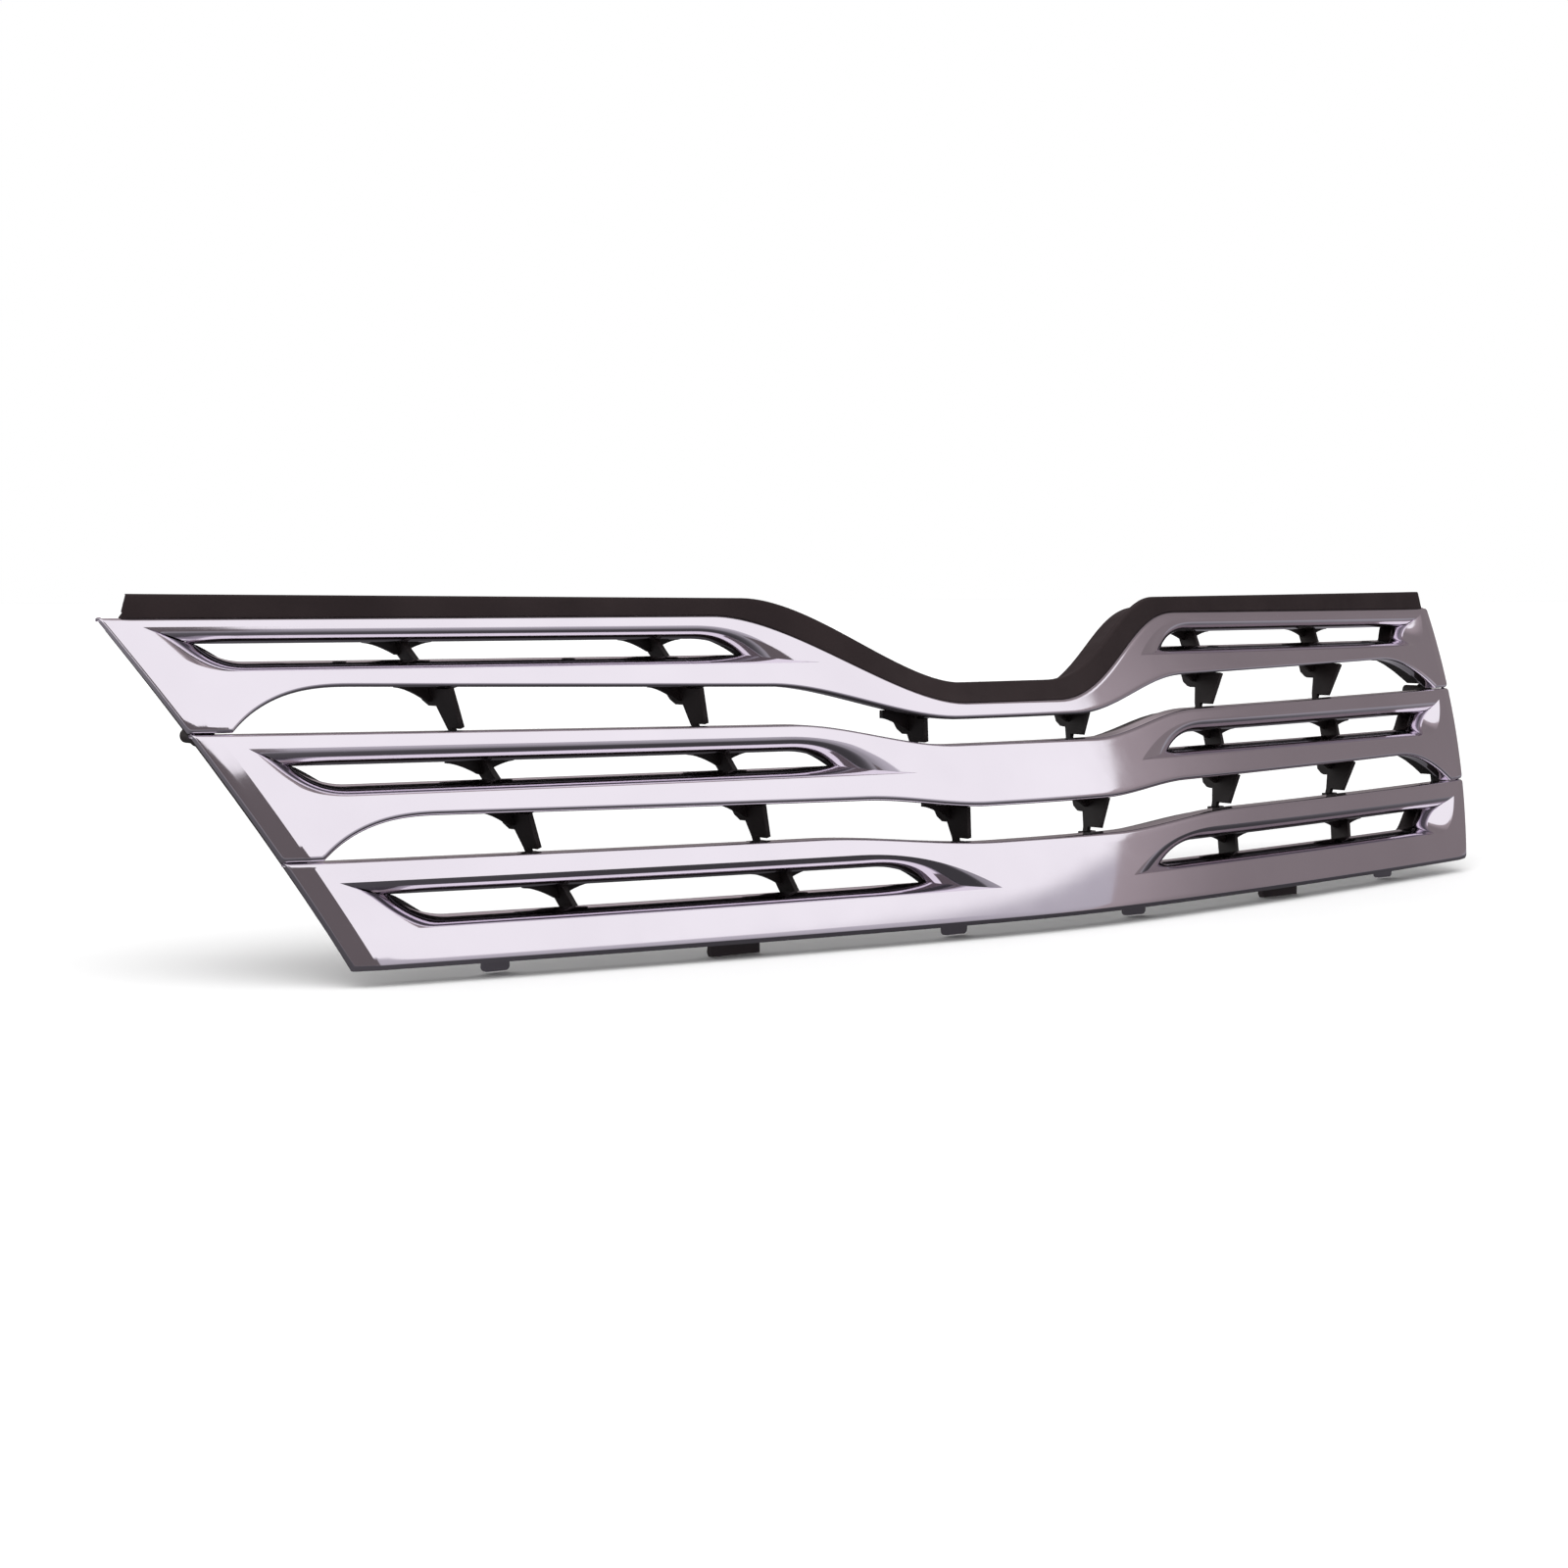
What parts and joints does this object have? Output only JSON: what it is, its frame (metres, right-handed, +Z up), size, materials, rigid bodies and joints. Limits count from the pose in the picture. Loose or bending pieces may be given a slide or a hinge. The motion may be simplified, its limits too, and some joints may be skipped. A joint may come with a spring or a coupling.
{
  "type": "automotive front grille",
  "caption": "Car front grille: stacked chrome bars with long slots, a dipped top edge with a black strip, and black carriers with struts behind.",
  "frame": {"origin": "midway between the two outer fixing holes of the top strip, on the upper side of its tabs", "axes": "+X to the right seen from the front, along the grille's width; +Y towards the rear of the car; +Z up, along the fixing holes"},
  "size_m": [1.123, 0.2108, 0.2084],
  "materials": {
    "chrome": "bright plated plastic",
    "black_plastic": "satin moulded",
    "strip_plastic": "matte moulded",
    "clip_plastic": "satin moulded",
    "zinc": "zinc plated",
    "foam": "closed-cell foam"
  },
  "bodies": {
    "root": {"upper_bar": "chrome", "middle_bar": "chrome", "lower_bar": "chrome", "upper_carrier": "black_plastic", "middle_carrier": "black_plastic", "lower_carrier": "black_plastic", "top_strip": "strip_plastic", "end_plate_left": "black_plastic", "end_plate_right": "black_plastic", "bottom_clip_left": "clip_plastic", "bottom_clip_right": "clip_plastic", "upper_bar_screws": "zinc", "middle_bar_screws": "zinc", "lower_bar_screws": "zinc", "upper_strut_screws": "zinc", "lower_strut_screws": "zinc", "end_plate_screws": "zinc", "top_strip_screws": "zinc", "end_foam_left": "foam", "end_foam_right": "foam"}
  },
  "joints": []
}
